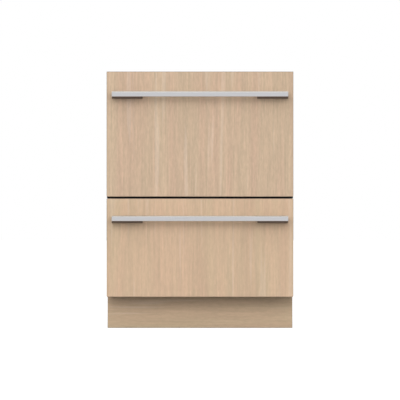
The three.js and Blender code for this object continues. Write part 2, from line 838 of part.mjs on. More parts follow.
// The upright wires of one wall, which stand just inside the floor's border wire and the rim.
function wallWires(wall, top) {
  const outer = wall.face + wall.inward * crossing;
  const inner = outer + wall.inward * wire;
  const heights = [basketLift + wire / 2, top];
  return wall.places.map((place) =>
    wall.axis === "x"
      ? block(place - wire / 2, place + wire / 2, outer, inner, ...heights)
      : block(outer, inner, place - wire / 2, place + wire / 2, ...heights),
  );
}

// The fine mesh between the wires, as one thin sheet round the walls and across the floor.
function meshSheet(top) {
  const inset = crossing + (wire - meshThickness) / 2;
  const floor = basketLift + (wire - meshThickness) / 2;
  const plan = [basketHalf - inset, basketFront + inset, basketBack - inset, basketCorner - inset];
  const floorShape = roundedOutline(-plan[0], ...plan);
  return [
    ring(...plan, meshThickness, floor, top),
    prism("z", floorShape, floor, floor + meshThickness),
  ];
}

// A block with a bore along Y that holds a rod; it spans two X values and two Z values.
function clip(x, z, fromX, toX, y, bottom) {
  const body = block(fromX, toX, y, y + clipLength, bottom, z + clipOverRod);
  return body.subtract(rod("y", x, z, rodRadius + rodClearance, y - 1, y + clipLength + 1, 12));
}

function basket(d) {
  const top = d.tubHeight - basketTopDrop;
  const middle = basketLift + (top - basketLift) * midWireShare;
  const hoop = (z, width) => ring(basketHalf, basketFront, basketBack, basketCorner, width, z - width, z);
  const solids = [hoop(top, rimWire), hoop(middle, wire), ...floorWires(), ...meshSheet(top - rimWire / 2)];
  for (const wall of basketWalls) {
    solids.push(...wallWires(wall, top - 0.7 * rimWire));
  }
  for (const y of tinePlaces) {
    solids.push(rod("z", fixedTineX, y, tineRadius, hingeWireTop - wire / 2, rodZ + tineHeight, 5));
  }
  const clipHalf = clipWidth / 2;
  const tineSpan = [foldTineX - clipHalf, foldTineX + clipHalf];
  const rackSpan = [rackHingeX - clipHalf, basketHalf - crossing - wire / 2];
  for (const y of [rowEnds[0], rowEnds[1] - clipLength]) {
    solids.push(clip(foldTineX, rodZ, ...tineSpan, y, hingeWireTop - wire / 2));
  }
  for (const y of [rackEnds[0], rackEnds[1] - clipLength]) {
    solids.push(clip(rackHingeX, rackZ, ...rackSpan, y, rackZ - clipHalf));
  }
  return piece(`${d.name}_basket`, joined(solids), "coatedWire");
}

// A row of tines on a rod that turns in the basket's clips, so that it folds flat.
function foldTines(d) {
  const solids = [rod("y", 0, 0, rodRadius, ...rowEnds, 12)];
  for (const y of tinePlaces) {
    solids.push(rod("z", 0, y, tineRadius, 0, tineHeight, 5));
  }
  const mesh = piece(`${d.name}_fold_tines`, joined(solids), "coatedWire");
  mesh.position.set(foldTineX, 0, rodZ);
  return mesh;
}

// A shelf of bars for cups, hinged along the basket's right wall.
function cupRack(d) {
  const [start, end] = [rackEnds[0] + clipLength + slip, rackEnds[1] - clipLength - slip];
  const half = rackThickness / 2;
  const solids = [rod("y", 0, 0, rodRadius, ...rackEnds, 12)];
  for (const y of spread(start, end - rackBarWidth, rackBarCount)) {
    solids.push(block(-rackReach, 0, y, y + rackBarWidth, -half, half));
  }
  for (const x of [-rackReach, -rackReach / 2]) {
    solids.push(block(x, x + rackBarWidth, start, end, -half, half));
  }
  solids.push(block(-rackReach, -rackReach + rackThickness, start, end, -half, rackLip));
  const mesh = piece(`${d.name}_cup_rack`, joined(solids), "paleGreyPlastic");
  mesh.position.set(rackHingeX, 0, rackZ);
  return mesh;
}

// ---- Detergent dispensers, on the inside of each tub's front wall ----

const dispenserFront = tubWall + seat;
const dispenserBack = dispenserFront + dispenserDepth;
const cupX = dispenserX - dispenserWidth / 2 + cupSideInset + cupWidth / 2;

function dispenserBody(d) {
  const top = d.tubHeight - dispenserDrop;
  const bottom = top - dispenserHeight;
  const cupMiddle = (top + bottom) / 2;
  const bodyX = [dispenserX - dispenserWidth / 2, dispenserX + dispenserWidth / 2];
  const cupEdges = [cupX - cupWidth / 2, cupX + cupWidth / 2];
  const cupHeights = [cupMiddle - cupHeight / 2, cupMiddle + cupHeight / 2];
  const shape = roundedOutline(...bodyX, bottom, top, dispenserCorner);
  const body = prism("y", shape, dispenserFront, dispenserBack);
  const cup = roundedOutline(...cupEdges, ...cupHeights, cupCorner);
  const solid = body.subtract(prism("y", cup, dispenserBack - cupDepth, dispenserBack + 1));
  return piece(`${d.name}_dispenser_body`, solid, "paleGreyPlastic");
}

// The cover slides sideways over the cup, with a raised grip.
function dispenserCover(d) {
  const middle = d.tubHeight - dispenserDrop - dispenserHeight / 2;
  const edges = [cupX - cupWidth / 2 - coverMargin, cupX + cupWidth / 2 + coverMargin];
  const heights = [middle - cupHeight / 2 - coverMargin, middle + cupHeight / 2 + coverMargin];
  const face = dispenserBack + seat + coverThickness;
  const plate = prism("y", roundedOutline(...edges, ...heights, coverCorner), dispenserBack + seat, face);
  const gripX = [edges[0] + coverGripInset, edges[0] + coverGripInset + coverGripWidth];
  const gripHeights = [heights[0] + coverGripEndInset, heights[1] - coverGripEndInset];
  const grip = block(...gripX, face - coverThickness / 2, face + coverGripRise, ...gripHeights);
  return piece(`${d.name}_dispenser_cover`, plate.add(grip), "greyPlastic");
}

// ---- Telescopic runners ----

// A channel between a web and its lips, as an outline in X and Z.
function channelOutline(webX, lipX, halfHeight) {
  const t = Math.sign(lipX - webX) * runnerSheet;
  return outline([
    [webX, -halfHeight],
    [lipX, -halfHeight],
    [lipX, -halfHeight + runnerSheet],
    [webX + t, -halfHeight + runnerSheet],
    [webX + t, halfHeight - runnerSheet],
    [lipX, halfHeight - runnerSheet],
    [lipX, halfHeight],
    [webX, halfHeight],
  ]);
}

function runners(side) {
  const s = side.sign;
  const step = runnerSheet + slip;
  const outer = runnerOuterX;
  const innerWeb = outer - runnerWidth;
  return [
    { name: "fixed", web: outer, lip: innerWeb + 2 * runnerSheet + slip, half: runnerHeight / 2 },
    { name: "middle", web: outer - step, lip: innerWeb + runnerSheet + slip, half: runnerHeight / 2 - step },
    { name: "inner", web: innerWeb, lip: outer - 2 * step, half: runnerHeight / 2 - 2 * step },
  ].map((member) => ({ ...member, shape: channelOutline(s * member.web, s * member.lip, member.half) }));
}

function runnerMember(d, side, member) {
  const solid = prism("y", member.shape, runnerSetback, tubDepth - runnerEndRoom);
  const mesh = piece(`${d.name}_runner_${side.name}_${member.name}`, solid, "runnerZinc");
  mesh.position.set(0, 0, runnerLift);
  return mesh;
}

// ---- Assembly ----

function chassis() {
  const group = new THREE.Group();
  group.add(rearPanel(), topCover(), baseTray(), middleRail(), plinthPanel(), servicePlate());
  for (const side of sides) {
    group.add(sidePanel(side));
    for (const place of footPlaces) {
      group.add(foot(place, side));
    }
  }
  return group;
}

function drawer(d) {
  const group = new THREE.Group();
  group.position.set(0, tubFrontY, d.tubBase);
  group.add(frontPanel(d), frontCarrier(d), handleBar(d));
  group.add(tub(d), lid(d), lidSeal(d));
  group.add(washMotor(d), filterPlate(d), sprayArm(d));
  group.add(basket(d), foldTines(d), cupRack(d));
  group.add(dispenserBody(d), dispenserCover(d));
  for (const spec of buttons) {
    group.add(button(d, spec));
  }
  for (const side of sides) {
    group.add(handleBracket(d, side));
    for (const member of runners(side)) {
      group.add(runnerMember(d, side, member));
    }
  }
  return group;
}

const dishwasher = new THREE.Group();
dishwasher.add(chassis(), ...drawers.map(drawer));

export default dishwasher;
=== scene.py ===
"""A panel-ready double drawer dishwasher, dressed over its frame. Metres, +Z up, the fronts face -Y."""
import json
import math

import bmesh
import bpy
from mathutils import Matrix, Vector


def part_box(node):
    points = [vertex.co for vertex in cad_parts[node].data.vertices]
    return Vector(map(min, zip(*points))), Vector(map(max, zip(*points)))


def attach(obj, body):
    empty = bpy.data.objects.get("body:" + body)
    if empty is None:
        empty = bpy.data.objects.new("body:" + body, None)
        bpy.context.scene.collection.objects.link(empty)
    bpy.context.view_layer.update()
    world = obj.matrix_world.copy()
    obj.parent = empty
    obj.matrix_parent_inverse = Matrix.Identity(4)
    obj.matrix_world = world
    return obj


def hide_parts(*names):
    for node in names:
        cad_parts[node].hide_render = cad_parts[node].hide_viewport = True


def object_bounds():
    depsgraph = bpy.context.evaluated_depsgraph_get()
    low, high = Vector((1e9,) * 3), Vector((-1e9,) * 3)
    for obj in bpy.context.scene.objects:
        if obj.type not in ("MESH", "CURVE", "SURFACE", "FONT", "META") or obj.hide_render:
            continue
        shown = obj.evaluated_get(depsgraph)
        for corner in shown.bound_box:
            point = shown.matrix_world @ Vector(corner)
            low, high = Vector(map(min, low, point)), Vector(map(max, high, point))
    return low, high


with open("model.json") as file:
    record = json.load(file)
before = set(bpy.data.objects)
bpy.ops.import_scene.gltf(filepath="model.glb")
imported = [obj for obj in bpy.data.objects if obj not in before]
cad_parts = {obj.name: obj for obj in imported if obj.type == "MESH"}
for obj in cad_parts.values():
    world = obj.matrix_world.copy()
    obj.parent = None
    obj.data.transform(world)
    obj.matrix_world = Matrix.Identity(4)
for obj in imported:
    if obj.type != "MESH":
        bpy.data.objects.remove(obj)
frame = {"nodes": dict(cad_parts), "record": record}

cad_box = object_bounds()
MM = 0.001
DRAWERS = ("upper", "lower")
SIDES = ("left", "right")
NODE_BODY = {node: body for body, nodes in frame["record"]["behaviour"]["bodies"].items() for node in nodes}
NODE_SLOT = {row["node"]: row["material_slot"] for row in frame["record"]["subparts"]}


# ---- Camera, from the photograph: straight on, level with the middle of the appliance ----

PHOTO_WIDTH_PX = 400
FRONT_WIDTH = 0.596
FRONT_WIDTH_PX = 186.76
METRES_PER_PX = FRONT_WIDTH / FRONT_WIDTH_PX
FRONT_FACE_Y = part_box("upper_front_panel")[0].y
CAMERA_DISTANCE = 14.0
CAMERA_HEIGHT = 0.4101
CAMERA_REACH = 100.0
SENSOR_MM = 36.0

camera_data = bpy.data.cameras.new("camera")
camera_data.sensor_width = SENSOR_MM
camera_data.lens = SENSOR_MM * CAMERA_DISTANCE / (PHOTO_WIDTH_PX * METRES_PER_PX)
camera_data.clip_end = CAMERA_REACH
camera = bpy.data.objects.new("camera", camera_data)
camera.location = (0, FRONT_FACE_Y - CAMERA_DISTANCE, CAMERA_HEIGHT)
camera.rotation_euler = (math.radians(90), 0, 0)
bpy.context.scene.collection.objects.link(camera)
bpy.context.scene.camera = camera


# ---- Material graphs ----

class Graph:
    """The nodes of a material or a world, with short calls that add to them."""

    def __init__(self, owner, coordinates="Object"):
        owner.use_nodes = True
        self.owner = owner
        self.tree = owner.node_tree
        self.place = self.add("ShaderNodeTexCoord").outputs[coordinates]

    def add(self, kind, inputs=(), **properties):
        node = self.tree.nodes.new(kind)
        for name, value in properties.items():
            setattr(node, name, value)
        for key, value in dict(inputs).items():
            self.set(node.inputs[key], value)
        return node

    def set(self, socket, value):
        if isinstance(value, bpy.types.NodeSocket):
            self.tree.links.new(value, socket)
        else:
            socket.default_value = value

    def surface(self, **values):
        """Sets inputs of the material's shader, and gives the material."""
        shader = self.tree.nodes["Principled BSDF"]
        for name, value in values.items():
            self.set(shader.inputs[name.replace("_", " ")], value)
        return self.owner

    def noise(self, scale, detail=2.0, roughness=0.5, source=None, colour=False):
        """Noise with its own scale along each axis."""
        stretched = self.add("ShaderNodeMapping", {"Vector": source or self.place, "Scale": scale})
        node = self.add("ShaderNodeTexNoise", {
            "Vector": stretched.outputs["Vector"], "Scale": 1.0, "Detail": detail, "Roughness": roughness})
        return node.outputs["Color" if colour else "Fac"]

    def even_noise(self, scale, detail=2.0, roughness=0.5):
        return self.noise((scale, scale, scale), detail, roughness)

    def math(self, operation, a, b):
        return self.add("ShaderNodeMath", {0: a, 1: b}, operation=operation).outputs[0]

    def vector(self, operation, *values):
        return self.add("ShaderNodeVectorMath", dict(enumerate(values)), operation=operation).outputs[0]

    def fit(self, value, low, high, to_low=0.0, to_high=1.0):
        """Maps low..high to to_low..to_high, and holds it there."""
        return self.add("ShaderNodeMapRange", {
            "Value": value, "From Min": low, "From Max": high,
            "To Min": to_low, "To Max": to_high}).outputs["Result"]

    def blend(self, factor, a, b, mode="MIX"):
        """Mixes two colours. The colour sockets of this node share their names, so they go by number."""
        node = self.add("ShaderNodeMix", {0: factor}, data_type="RGBA", blend_type=mode)
        self.set(node.inputs[6], a)
        self.set(node.inputs[7], b)
        return node.outputs[2]

    def bump(self, height, distance, strength):
        node = self.add("ShaderNodeBump", {"Height": height, "Distance": distance, "Strength": strength})
        return node.outputs["Normal"]

    def seen_directly(self):
        """1 where the camera looks, directly or by gloss or glass, and 0 where light falls on a surface."""
        paths = self.add("ShaderNodeLightPath").outputs
        mirrored = self.math("MAXIMUM", paths["Is Glossy Ray"], paths["Is Transmission Ray"])
        return self.math("MAXIMUM", paths["Is Camera Ray"], mirrored)


def srgb(red, green, blue):
    """A colour given as 0-255 screen values, as the linear colour that a shader takes."""
    def linear(value):
        value /= 255
        return value / 12.92 if value <= 0.04045 else ((value + 0.055) / 1.055) ** 2.4
    return (linear(red), linear(green), linear(blue), 1.0)


def scaled(colour, factor):
    return tuple(channel * factor for channel in colour[:3]) + (1.0,)


def grey(level):
    return (level, level, level, 1.0)


RAY_COLOUR = (1.0, 0.93, 0.82, 1)
PINKER = (1.018, 0.985, 0.985, 1)
GREENER = (0.985, 1.008, 0.985, 1)
GRAIN_WANDER = 0.012


def oak(name, tone, along, contrast=1.0, leaf=0.0):
    """Straight-grained pale oak veneer. along is the axis that the grain runs along, tone its mean colour,
    and leaf picks another stretch of the same log."""
    g = Graph(bpy.data.materials.new(name))
    place = g.vector("ADD", g.place, (leaf, leaf, leaf))

    def scale(cross, length):
        return tuple(length if axis == along else cross for axis in "xyz")

    # The whole grain wanders a little, so that no line is straight from end to end.
    wander = g.noise(scale(5.0, 1.1), source=place, colour=True)
    shift = g.vector("SUBTRACT", wander, (0.5, 0.5, 0.5))
    bent_place = g.vector("MULTIPLY_ADD", shift, (GRAIN_WANDER, GRAIN_WANDER, GRAIN_WANDER), place)
    bands = g.noise(scale(17.0, 0.5), source=bent_place)
    streaks = g.noise(scale(150.0, 5.0), 4.0, 0.62, bent_place)
    rays = g.noise(scale(62.0, 2.4), 1.5, 0.4, bent_place)
    hue = g.noise(scale(26.0, 1.6), 1.0, source=bent_place)
    dashes = g.noise(scale(200.0, 52.0), 2.5, 0.6, bent_place)
    pores = g.noise(scale(900.0, 26.0), 2.0, 0.6, bent_place)

    streak_depth = 0.075 * contrast
    dark = scaled(tone, 1 - 1.1 * streak_depth)
    light = scaled(tone, 1 + 1.0 * streak_depth)
    colour = g.blend(g.fit(streaks, 0.3, 0.7), dark, light)
    banded = g.blend(g.fit(bands, 0.32, 0.68), grey(0.962), grey(1.028))
    colour = g.blend(1.0, colour, banded, "MULTIPLY")
    dash_depth = 0.056 * contrast
    flecked = g.blend(g.fit(dashes, 0.3, 0.7), grey(1 - dash_depth), grey(1 + dash_depth))
    colour = g.blend(1.0, colour, flecked, "MULTIPLY")
    tint = g.blend(g.fit(hue, 0.35, 0.65), PINKER, GREENER)
    colour = g.blend(1.0, colour, tint, "MULTIPLY")
    ray_share = g.fit(rays, 0.62, 0.70, 0.0, 0.085 * contrast)
    colour = g.blend(ray_share, colour, RAY_COLOUR)
    pore_share = g.fit(pores, 0.66, 0.76, 0.0, 0.22 * contrast)
    colour = g.blend(pore_share, colour, scaled(tone, 0.45))
    height = g.math("SUBTRACT", g.math("MULTIPLY", streaks, 0.3), g.fit(pores, 0.62, 0.76))
    rough = g.fit(streaks, 0.3, 0.7, 0.56, 0.66)
    return g.surface(Base_Color=colour, Roughness=rough, Normal=g.bump(height, 0.00008, 0.35),
                     Specular_IOR_Level=0.35)


def brushed(name, tone, along, roughness=0.3, pitch=1500.0, depth=0.00003, wear=0.0):
    """Metal with fine lines along an axis, and a little uneven wear."""
    g = Graph(bpy.data.materials.new(name))
    scale = tuple(6.0 if axis == along else pitch for axis in "xyz")
    lines = g.noise(scale, 3.0, 0.6)
    soft = g.even_noise(9.0, 3.0)
    colour = g.blend(g.fit(lines, 0.25, 0.75), scaled(tone, 0.93), scaled(tone, 1.05))
    colour = g.blend(g.fit(soft, 0.35, 0.7, 0.0, 0.10 + wear), colour, scaled(tone, 0.86))
    rough = g.math("ADD", g.fit(lines, 0.25, 0.75, roughness - 0.05, roughness + 0.07),
                   g.fit(soft, 0.3, 0.7, -0.02, 0.03 + wear))
    return g.surface(Base_Color=colour, Metallic=1.0, Roughness=rough, Normal=g.bump(lines, depth, 0.4))


def zinc_sheet(name, tone):
    """Zinc-coated steel with its faint crystals."""
    g = Graph(bpy.data.materials.new(name))
    crystals = g.add("ShaderNodeTexVoronoi", {"Vector": g.place, "Scale": 85.0, "Randomness": 1.0})
    facet = g.add("ShaderNodeSeparateColor", {"Color": crystals.outputs["Color"]}).outputs[0]
    haze = g.even_noise(5.0, 4.0, 0.6)
    grain = g.even_noise(420.0)
    colour = g.blend(facet, scaled(tone, 0.93), scaled(tone, 1.06))
    colour = g.blend(g.fit(haze, 0.4, 0.75, 0.0, 0.35), colour, scaled(tone, 0.86))
    rough = g.math("ADD", g.fit(facet, 0.0, 1.0, 0.50, 0.60), g.fit(haze, 0.3, 0.7, -0.03, 0.07))
    return g.surface(Base_Color=colour, Metallic=0.75, Roughness=rough, Normal=g.bump(grain, 0.00002, 0.3))


def moulded(name, tone, roughness=0.5, grain=900.0, depth=0.00006, level=0.5, mottling=0.05):
    """Moulded plastic or rubber with a fine spark texture."""
    g = Graph(bpy.data.materials.new(name))
    spark = g.even_noise(grain, 2.0, 0.55)
    cloud = g.even_noise(14.0, 3.0)
    colour = g.blend(g.fit(cloud, 0.3, 0.7), scaled(tone, 1 - mottling), scaled(tone, 1 + mottling))
    rough = g.math("ADD", g.fit(spark, 0.3, 0.7, roughness - 0.06, roughness + 0.06),
                   g.fit(cloud, 0.3, 0.7, -0.03, 0.03))
    return g.surface(Base_Color=colour, Roughness=rough, Normal=g.bump(spark, depth, 0.5),
                     Specular_IOR_Level=level)


def painted(name, tone, roughness, metallic):
    """Satin paint on metal, with orange peel and faint rubbing."""
    g = Graph(bpy.data.materials.new(name))
    peel = g.even_noise(600.0)
    rub = g.even_noise(24.0, 4.0, 0.65)
    colour = g.blend(g.fit(rub, 0.35, 0.7), scaled(tone, 0.92), scaled(tone, 1.12))
    rough = g.fit(rub, 0.3, 0.7, roughness - 0.06, roughness + 0.08)
    return g.surface(Base_Color=colour, Metallic=metallic, Roughness=rough, Normal=g.bump(peel, 0.00003, 0.4))


OAK = srgb(205, 178, 152)
OAK_LOWER = srgb(208, 180, 151)
# Toned darker than the fronts' oak: painted shade of the recess under the fronts.
PLINTH_OAK_SHADED = srgb(195, 171, 142)
# Darker oak for the rounded arrises: painted shade along the boards' edges.
OAK_ARRIS_PAINTED_SHADE = srgb(133, 115, 100)
materials = {
    "oak_upper": oak("oak_upper", OAK, "z", 1.3, 0.31),
    "oak_lower": oak("oak_lower", OAK_LOWER, "z", 0.95, 0.87),
    "oak_edge_level": oak("oak_edge_level", scaled(OAK, 0.96), "x", 0.8),
    "oak_plinth": oak("oak_plinth", PLINTH_OAK_SHADED, "x"),
    "oak_arris_painted_shade": oak("oak_arris_painted_shade", OAK_ARRIS_PAINTED_SHADE, "z", 0.6),
    "handle_steel": brushed("handle_steel", srgb(188, 188, 190), "x", 0.30, 2600.0),
    # A lighter, warmer copy of the handle steel: painted highlight on the bar's rounded upper front edge.
    "handle_painted_highlight": brushed("handle_painted_highlight", srgb(206, 201, 193), "x", 0.24, 2600.0),
    # Dark brown brackets: a guessed dark finish, plus painted shade from the bar above and a painted
    # reflection of the oak in the brown tint.
    "bracket_dark": painted("bracket_dark", srgb(107, 94, 86), 0.5, 0.4),
    "zinc_sheet": zinc_sheet("zinc_sheet", srgb(176, 180, 183)),
    "stainless_tub": brushed("stainless_tub", srgb(190, 192, 194), "x", 0.26, 700.0, 0.00002, 0.04),
    # The carriers' dark plastic, taken near black as painted shade so that the gap between the fronts reads
    # black.
    "front_plastic": moulded("front_plastic", srgb(21, 21, 23), 0.6, level=0.3),
    "lid_plastic": moulded("lid_plastic", srgb(168, 171, 173), 0.5),
    "seal_rubber": moulded("seal_rubber", srgb(62, 63, 64), 0.75, 500.0, 0.00004, 0.3),
    "coated_wire": moulded("coated_wire", srgb(142, 146, 150), 0.38, 700.0, 0.00002, 0.5),
    "grey_plastic": moulded("grey_plastic", srgb(112, 117, 121), 0.48),
    "pale_plastic": moulded("pale_plastic", srgb(184, 188, 191), 0.45),
    "black_plastic": moulded("black_plastic", srgb(31, 32, 34), 0.5),
    "runner_zinc": brushed("runner_zinc", srgb(182, 185, 186), "y", 0.3, 900.0),
    "display_glass": moulded("display_glass", srgb(14, 15, 17), 0.12, 900.0, 0.000002, 0.6),
    "indicator_lens": moulded("indicator_lens", srgb(226, 230, 232), 0.25, 900.0, 0.000005, 0.5),
    "button_plastic": moulded("button_plastic", srgb(203, 205, 206), 0.3, 1200.0, 0.00001),
}


# ---- Objects and pieces ----

def object_from(name, bm):
    """Puts a finished bmesh in the scene as an object."""
    mesh = bpy.data.meshes.new(name)
    bm.to_mesh(mesh)
    bm.free()
    obj = bpy.data.objects.new(name, mesh)
    bpy.context.scene.collection.objects.link(obj)
    return obj


def apply_modifiers(obj):
    """Makes an object's modifiers part of its mesh."""
    depsgraph = bpy.context.evaluated_depsgraph_get()
    depsgraph.update()
    mesh = bpy.data.meshes.new_from_object(obj.evaluated_get(depsgraph))
    obj.modifiers.clear()
    obj.data = mesh


def shade(obj, angle):
    """Smooth shading between edges sharper than an angle in degrees. At rounded edges it turns to the larger
    face beside them, so that flat faces look flat."""
    for polygon in obj.data.polygons:
        polygon.use_smooth = True
    obj.data.set_sharp_from_angle(angle=math.radians(angle))
    obj.modifiers.new("even", "WEIGHTED_NORMAL").keep_sharp = True
    apply_modifiers(obj)


def piece(obj, material, body, stands_for=()):
    """Gives an object its material or materials, its body and slot, and the CAD nodes that it stands for."""
    for one in material if isinstance(material, (list, tuple)) else [material]:
        obj.data.materials.append(materials[one])
    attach(obj, body)
    if stands_for:
        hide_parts(*stands_for)


def add_piece(name, bm, material, body, stands_for=(), angle=35):
    """A piece made from a bmesh whose faces may still point either way."""
    bmesh.ops.recalc_face_normals(bm, faces=bm.faces)
    obj = object_from(name, bm)
    shade(obj, angle)
    piece(obj, material, body, stands_for)


SAME_POINT = 1e-6
FLAT_WITHIN = math.radians(0.5)
ROUNDED_FROM = math.radians(25)


def softened(node, width, segments, material=None, choose=None):
    """A copy of a CAD node with its flat faces made whole and its edges rounded, which stands for the node.
    choose gives a face's material from its normal, where there is more than one."""
    bm = bmesh.new()
    bm.from_mesh(frame["nodes"][node].data)
    bmesh.ops.remove_doubles(bm, verts=bm.verts, dist=SAME_POINT)
    bmesh.ops.dissolve_limit(bm, angle_limit=FLAT_WITHIN, verts=bm.verts, edges=bm.edges)
    obj = object_from(f"{node}_shape", bm)
    bevel = obj.modifiers.new("round", "BEVEL")
    bevel.width = width
    bevel.segments = segments
    bevel.limit_method = "ANGLE"
    bevel.angle_limit = ROUNDED_FROM
    bevel.use_clamp_overlap = True
    bevel.harden_normals = False
    apply_modifiers(obj)
    shade(obj, 40)
    if choose:
        for polygon in obj.data.polygons:
            polygon.material_index = choose(polygon.normal)
    piece(obj, material or NODE_SLOT[node], NODE_BODY[node], (node,))


# ---- Wires, lathed and lofted shapes ----

def rounded_path(half, front, back, corner, z, steps=6):
    """Points round a rectangle with round corners, centred on X, at one height."""
    points = []
    for x, y, start in ((half - corner, front + corner, -90), (half - corner, back - corner, 0),
                        (-half + corner, back - corner, 90), (-half + corner, front + corner, 180)):
        for i in range(steps + 1):
            angle = math.radians(start + 90 * i / steps)
            points.append(Vector((x + corner * math.cos(angle), y + corner * math.sin(angle), z)))
    return points


def bent(points, radius, steps=4):
    """A path whose inner corners are rounded, as a wire is bent."""
    points = [Vector(point) for point in points]
    path = [points[0]]
    for before, corner, after in zip(points, points[1:], points[2:]):
        start = corner + (before - corner).normalized() * radius
        end = corner + (after - corner).normalized() * radius
        for i in range(steps + 1):
            s = i / steps
            path.append(start.lerp(corner, s).lerp(corner.lerp(end, s), s))
    path.append(points[-1])
    return path


def bridge(bm, one, two):
    """Joins two rings of the same number of vertices with faces."""
    count = len(one)
    for k in range(count):
        j = (k + 1) % count
        bm.faces.new((one[k], one[j], two[j], two[k]))


DOME_SHRINK = 0.6
DOME_RISE = 0.7
NEARLY_UPRIGHT = 0.9


def tube(bm, path, radius, sides=8, closed=False, domed=False):
    """A round wire along a path. domed rounds its ends."""
    path = [Vector(point) for point in path]
    count = len(path)
    rings = []
    normal = None
    for i, point in enumerate(path):
        before = path[(i - 1) % count] if closed or i else point
        after = path[(i + 1) % count] if closed or i < count - 1 else point
        tangent = (after - before).normalized()
        if normal is None:
            side = Vector((0, 0, 1)) if abs(tangent.z) < NEARLY_UPRIGHT else Vector((1, 0, 0))
            normal = tangent.cross(side).normalized()
        normal = (normal - tangent * normal.dot(tangent)).normalized()
        binormal = tangent.cross(normal)
        rings.append([bm.verts.new(point + (normal * math.cos(a) + binormal * math.sin(a)) * radius)
                      for a in (2 * math.pi * k / sides for k in range(sides))])
    for one, two in zip(rings, rings[1:]):
        bridge(bm, one, two)
    if closed:
        bridge(bm, rings[-1], rings[0])
        return
    for ring, point, inner in ((rings[0], path[0], path[1]), (rings[-1], path[-1], path[-2])):
        if domed:
            rise = (point - inner).normalized() * radius * DOME_RISE
            cap = [bm.verts.new(point + (vert.co - point) * DOME_SHRINK + rise) for vert in ring]
            bridge(bm, ring, cap)
            bm.faces.new(cap)
        else:
            bm.faces.new(ring)


LATHE_TURN = {"z": Matrix.Identity(3), "y": Matrix.Rotation(math.radians(-90), 3, "X")}
ON_AXIS = 1e-7


def lathe(bm, profile, centre, axis="z", sides=40):
    """Turns (radius, height) points round an axis through a centre. Ends with radius 0 close it."""
    centre = Vector(centre)
    turn = LATHE_TURN[axis]
    rings = []
    for radius, height in profile:
        spokes = [0.0] if radius < ON_AXIS else [2 * math.pi * k / sides for k in range(sides)]
        reach = 0.0 if radius < ON_AXIS else radius
        rings.append([bm.verts.new(centre + turn @ Vector((reach * math.cos(a), reach * math.sin(a), height)))
                      for a in spokes])
    for one, two in zip(rings, rings[1:]):
        if len(one) == len(two):
            bridge(bm, one, two)
            continue
        for k in range(sides):
            j = (k + 1) % sides
            bm.faces.new((one[0], two[k], two[j]) if len(one) == 1 else (one[k], one[j], two[0]))


def loft(bm, loops):
    """Skins loops that have the same number of points, and closes its two ends."""
    rings = [[bm.verts.new(point) for point in loop] for loop in loops]
    for one, two in zip(rings, rings[1:]):
        bridge(bm, one, two)
    bm.faces.new(rings[0])
    bm.faces.new(rings[-1])


def round_edges(bm, edges, radius, segments):
    bmesh.ops.bevel(bm, geom=edges, offset=radius, offset_type="OFFSET", segments=segments, profile=0.5,
                    affect="EDGES")


def soft_box(bm, low, high, radius, segments=2):
    """A box with rounded edges, added to a bmesh."""
    low, high = Vector(low), Vector(high)
    made = bmesh.ops.create_cube(bm, size=1.0)["verts"]
    bmesh.ops.scale(bm, vec=high - low, verts=made)
    bmesh.ops.translate(bm, vec=(low + high) / 2, verts=made)
    round_edges(bm, list({edge for vert in made for edge in vert.link_edges}), radius, segments)


def across(first, last, count):
    """Evenly spaced values from first to last."""
    return [first + (last - first) * i / (count - 1) for i in range(count)]


# ---- Floor ----

FLOOR_HALF = 30.0
FLOOR_SHADE = 0.17
FLOOR_SEEN = 0.30
FLOOR_GLOW = 0.82

floor_mesh = bpy.data.meshes.new("floor")
floor_mesh.from_pydata([(-FLOOR_HALF, -FLOOR_HALF, 0), (FLOOR_HALF, -FLOOR_HALF, 0),
                        (FLOOR_HALF, FLOOR_HALF, 0), (-FLOOR_HALF, FLOOR_HALF, 0)], [], [(0, 1, 2, 3)])
floor = bpy.data.objects.new("floor", floor_mesh)
bpy.context.scene.collection.objects.link(floor)
floor.location.z = cad_box[0][2]


def floor_material():
    """Pale and matt; the camera sees it nearly white, with what is left of the object's shadow."""
    g = Graph(bpy.data.materials.new("floor"))
    g.tree.nodes.remove(g.tree.nodes["Principled BSDF"])
    matt = g.add("ShaderNodeBsdfDiffuse", {"Color": grey(FLOOR_SHADE)})
    faint = g.add("ShaderNodeBsdfDiffuse", {"Color": grey(FLOOR_SEEN)})
    glow = g.add("ShaderNodeEmission", {"Color": grey(1.0), "Strength": FLOOR_GLOW})
    shown = g.add("ShaderNodeAddShader", {0: faint.outputs[0], 1: glow.outputs[0]})
    both = g.add("ShaderNodeMixShader", {0: g.seen_directly(), 1: matt.outputs[0], 2: shown.outputs[0]})
    g.set(g.tree.nodes["Material Output"].inputs["Surface"], both.outputs[0])
    return g.owner


floor_mesh.materials.append(floor_material())


# ---- Sky and lamps ----

HORIZON_LIGHT = 1.64
ZENITH_LIGHT = 1.06
BACKDROP = 1.0

world = bpy.data.worlds.new("world")
bpy.context.scene.world = world
sky = Graph(world, "Generated")
sky_height = sky.add("ShaderNodeSeparateXYZ", {"Vector": sky.place}).outputs["Z"]
sky_light = sky.fit(sky_height, 0.0, 1.0, HORIZON_LIGHT, ZENITH_LIGHT)
background = sky.tree.nodes["Background"]
sky.set(background.inputs["Color"], grey(1.0))
sky.set(background.inputs["Strength"], sky.fit(sky.seen_directly(), 0.0, 1.0, sky_light, BACKDROP))

LAMP_AIM = Vector((0, 0, 0.45))


def area_lamp(name, place, width, height, watts):
    """A rectangular lamp that faces the middle of the appliance."""
    data = bpy.data.lights.new(name, "AREA")
    data.shape = "RECTANGLE"
    data.size = width
    data.size_y = height
    data.energy = watts
    lamp = bpy.data.objects.new(name, data)
    lamp.location = place
    lamp.rotation_euler = (LAMP_AIM - Vector(place)).to_track_quat("-Z", "Y").to_euler()
    bpy.context.scene.collection.objects.link(lamp)


